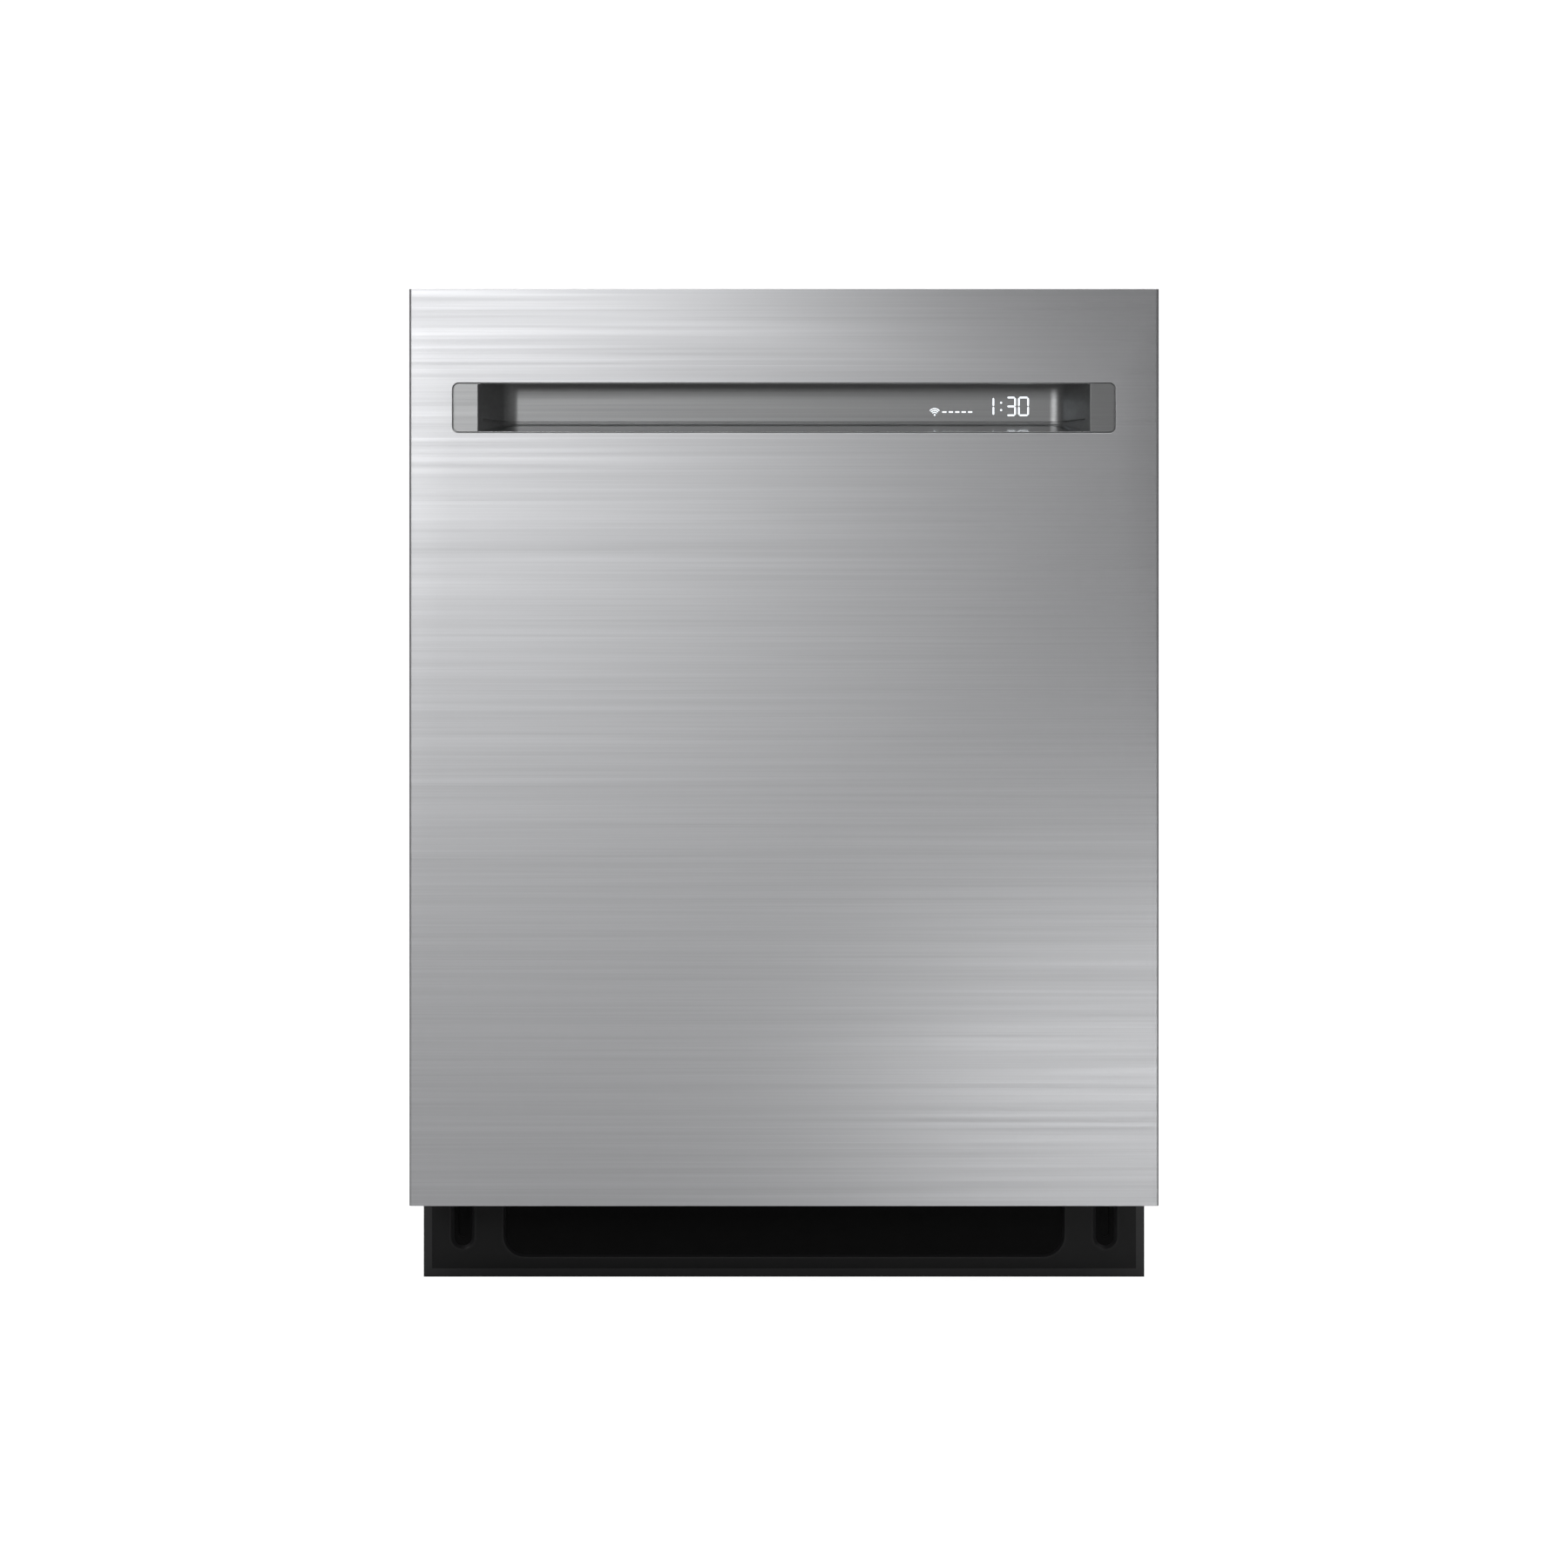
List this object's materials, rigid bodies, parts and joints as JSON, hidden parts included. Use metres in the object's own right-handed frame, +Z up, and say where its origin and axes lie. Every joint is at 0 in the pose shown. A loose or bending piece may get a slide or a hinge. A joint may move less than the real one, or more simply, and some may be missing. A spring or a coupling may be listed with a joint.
{
  "type": "built-in dishwasher",
  "caption": "Built-in front-opening dishwasher with a drop-down stainless door, recessed pocket handle, pull-out racks, spray arms and a black recessed toe panel.",
  "frame": {"origin": "on the floor, at the middle of the machine's footprint", "axes": "+X to the right seen from the front, +Y to the back, +Z up; the door faces -Y"},
  "size_m": [0.606, 0.62, 0.81],
  "materials": {
    "door_steel": "horizontally brushed, satin",
    "liner_steel": "bright satin",
    "tub_steel": "satin",
    "galvanised": "zinc coated",
    "filter_mesh": "perforated, fine mesh",
    "heater_sheath": "dull nickel alloy sheath",
    "spring_steel": "oiled wire",
    "cable": "stranded wire",
    "screw_steel": "bright plated",
    "handle_grey": "satin grey moulding",
    "console_black": "fine matte",
    "touch_glass": "gloss black",
    "button_grey": "satin",
    "digit_white": "lit, white",
    "latch_grey": "glass filled nylon",
    "dispenser_grey": "satin",
    "lid_grey": "satin",
    "cap_blue_grey": "satin",
    "seal_black": "soft matte",
    "blanket_grey": "fibre felt",
    "toe_black": "semi gloss black",
    "foot_grey": "moulded nylon",
    "sump_grey": "moulded polypropylene",
    "pump_black": "moulded",
    "valve_white": "moulded",
    "tube_grey": "moulded polypropylene",
    "arm_grey": "moulded polypropylene",
    "hose_grey": "flexible, corrugated",
    "hose_braid": "reinforced rubber",
    "rack_coat": "nylon coated wire",
    "rail_steel": "stainless channel",
    "guide_grey": "acetal and steel",
    "wheel_grey": "moulded",
    "basket_grey": "moulded polypropylene"
  },
  "bodies": {
    "cabinet": {"tub_wrap": "tub_steel", "tub_back": "tub_steel", "tub_floor": "tub_steel", "front_frame": "tub_steel", "door_gasket": "seal_black", "insulation_blanket": "blanket_grey", "strike_plate": "galvanised", "countertop_brackets": "galvanised", "base_frame": "galvanised", "hinge_brackets": "galvanised", "toe_panel": "toe_black", "sump": "sump_grey", "fine_filter": "filter_mesh", "circulation_pump": "pump_black", "drain_pump": "pump_black", "heating_element": "heater_sheath", "feed_tube": "tube_grey", "inlet_valve": "valve_white", "inlet_hose": "hose_braid", "drain_hose": "hose_grey", "junction_box": "galvanised", "rack_guides": "guide_grey", "balance_springs": "spring_steel", "balance_cables": "cable"},
    "door": {"outer_door_panel": "door_steel", "handle_pocket": "handle_grey", "display_digits": "digit_white", "inner_door_liner": "liner_steel", "control_console": "console_black", "touch_panel": "touch_glass", "latch_body": "latch_grey", "detergent_dispenser": "dispenser_grey", "door_vent": "dispenser_grey", "hinge_arms": "galvanised", "door_screws": "screw_steel", "splash_seal": "seal_black"},
    "latch_hook": {"latch_bolt": "latch_grey"},
    "power_key": {"power_button": "button_grey"},
    "start_key": {"start_button": "button_grey"},
    "dispenser_lid": {"detergent_lid": "lid_grey"},
    "rinse_cap": {"rinse_aid_cap": "cap_blue_grey"},
    "filter_core": {"coarse_filter": "filter_mesh"},
    "balance": {"balance_rods": "galvanised"},
    "lower_basket": {"lower_rack": "rack_coat", "cutlery_basket": "basket_grey"},
    "upper_basket": {"upper_rack": "rack_coat", "upper_rails": "rail_steel", "upper_manifold": "tube_grey"},
    "tray": {"third_rack": "rack_coat"},
    "lower_arm": {"lower_spray_arm": "arm_grey"},
    "upper_arm": {"upper_spray_arm": "arm_grey"},
    "ceiling_arm": {"ceiling_spray_arm": "arm_grey"},
    "foot_fl": {"foot_front_left": "foot_grey"},
    "foot_fr": {"foot_front_right": "foot_grey"},
    "foot_rl": {"foot_rear_left": "foot_grey"},
    "foot_rr": {"foot_rear_right": "foot_grey"},
    "roller_fl": {"wheel_front_left": "wheel_grey"},
    "roller_fr": {"wheel_front_right": "wheel_grey"},
    "roller_rl": {"wheel_rear_left": "wheel_grey"},
    "roller_rr": {"wheel_rear_right": "wheel_grey"}
  },
  "joints": [
    {"name": "door_hinge", "type": "hinge", "parent": "cabinet", "child": "door", "pos_m": [0, -0.283, 0.095], "axis": [1, 0, 0], "range_deg": [0, 90]},
    {"name": "balance_slide", "type": "slide", "parent": "cabinet", "child": "balance", "axis": [0, -1, 0], "range_m": [0, 0.036], "deforming": ["balance_springs", "balance_cables"]},
    {"name": "lower_rack_slide", "type": "slide", "parent": "cabinet", "child": "lower_basket", "axis": [0, -1, 0], "range_m": [0, 0.55]},
    {"name": "upper_rack_slide", "type": "slide", "parent": "cabinet", "child": "upper_basket", "axis": [0, -1, 0], "range_m": [0, 0.42]},
    {"name": "third_rack_slide", "type": "slide", "parent": "cabinet", "child": "tray", "axis": [0, -1, 0], "range_m": [0, 0.4]},
    {"name": "latch_rock", "type": "hinge", "parent": "door", "child": "latch_hook", "pos_m": [0, -0.274, 0.798], "axis": [1, 0, 0], "range_deg": [0, 6], "stiffness_Nm_per_rad": 0.4, "springref_deg": -17.19},
    {"name": "power_push", "type": "slide", "parent": "door", "child": "power_key", "axis": [0, 0, -1], "range_m": [0, 0.0012], "stiffness_N_per_m": 1500, "springref_m": -0.0006},
    {"name": "start_push", "type": "slide", "parent": "door", "child": "start_key", "axis": [0, 0, -1], "range_m": [0, 0.0012], "stiffness_N_per_m": 1500, "springref_m": -0.0006},
    {"name": "lid_slide", "type": "slide", "parent": "door", "child": "dispenser_lid", "axis": [0, 0, 1], "range_m": [0, 0.068]},
    {"name": "cap_twist", "type": "hinge", "parent": "door", "child": "rinse_cap", "pos_m": [0.048, -0.244, 0.43], "axis": [0, 1, 0], "range_deg": [0, 90]},
    {"name": "filter_twist", "type": "hinge", "parent": "cabinet", "child": "filter_core", "pos_m": [0, -0.105, 0.119], "axis": [0, 0, 1], "range_deg": [0, 90]},
    {"name": "lower_arm_spin", "type": "hinge", "parent": "cabinet", "child": "lower_arm", "pos_m": [0, 0.014, 0.1465], "axis": [0, 0, 1], "continuous": true},
    {"name": "upper_arm_spin", "type": "hinge", "parent": "upper_basket", "child": "upper_arm", "pos_m": [0, 0.014, 0.433], "axis": [0, 0, 1], "continuous": true},
    {"name": "ceiling_arm_spin", "type": "hinge", "parent": "cabinet", "child": "ceiling_arm", "pos_m": [0, 0.014, 0.7415], "axis": [0, 0, 1], "continuous": true},
    {"name": "foot_fl_screw", "type": "slide", "parent": "cabinet", "child": "foot_fl", "axis": [0, 0, -1], "range_m": [0, 0.05]},
    {"name": "foot_fr_screw", "type": "slide", "parent": "cabinet", "child": "foot_fr", "axis": [0, 0, -1], "range_m": [0, 0.05]},
    {"name": "foot_rl_screw", "type": "slide", "parent": "cabinet", "child": "foot_rl", "axis": [0, 0, -1], "range_m": [0, 0.05]},
    {"name": "foot_rr_screw", "type": "slide", "parent": "cabinet", "child": "foot_rr", "axis": [0, 0, -1], "range_m": [0, 0.05]},
    {"name": "roller_fl_spin", "type": "hinge", "parent": "lower_basket", "child": "roller_fl", "pos_m": [-0.266, -0.16, 0.1501], "axis": [1, 0, 0], "range_deg": [-2000, 2000]},
    {"name": "roller_fr_spin", "type": "hinge", "parent": "lower_basket", "child": "roller_fr", "pos_m": [0.266, -0.16, 0.1501], "axis": [1, 0, 0], "range_deg": [-2000, 2000]},
    {"name": "roller_rl_spin", "type": "hinge", "parent": "lower_basket", "child": "roller_rl", "pos_m": [-0.266, 0.185, 0.1501], "axis": [1, 0, 0], "range_deg": [-2000, 2000]},
    {"name": "roller_rr_spin", "type": "hinge", "parent": "lower_basket", "child": "roller_rr", "pos_m": [0.266, 0.185, 0.1501], "axis": [1, 0, 0], "range_deg": [-2000, 2000]}
  ],
  "couplings": [
    {"joint": "balance_slide", "follows": "door_hinge", "m_per_rad": 0.022},
    {"joint": "lower_rack_slide", "follows": "door_hinge", "m_per_rad": 0.09},
    {"joint": "upper_rack_slide", "follows": "door_hinge", "m_per_rad": 0.26},
    {"joint": "third_rack_slide", "follows": "door_hinge", "m_per_rad": 0.24},
    {"joint": "roller_fl_spin", "follows": "door_hinge", "ratio": 5},
    {"joint": "roller_fr_spin", "follows": "door_hinge", "ratio": 5},
    {"joint": "roller_rl_spin", "follows": "door_hinge", "ratio": 5},
    {"joint": "roller_rr_spin", "follows": "door_hinge", "ratio": 5}
  ]
}
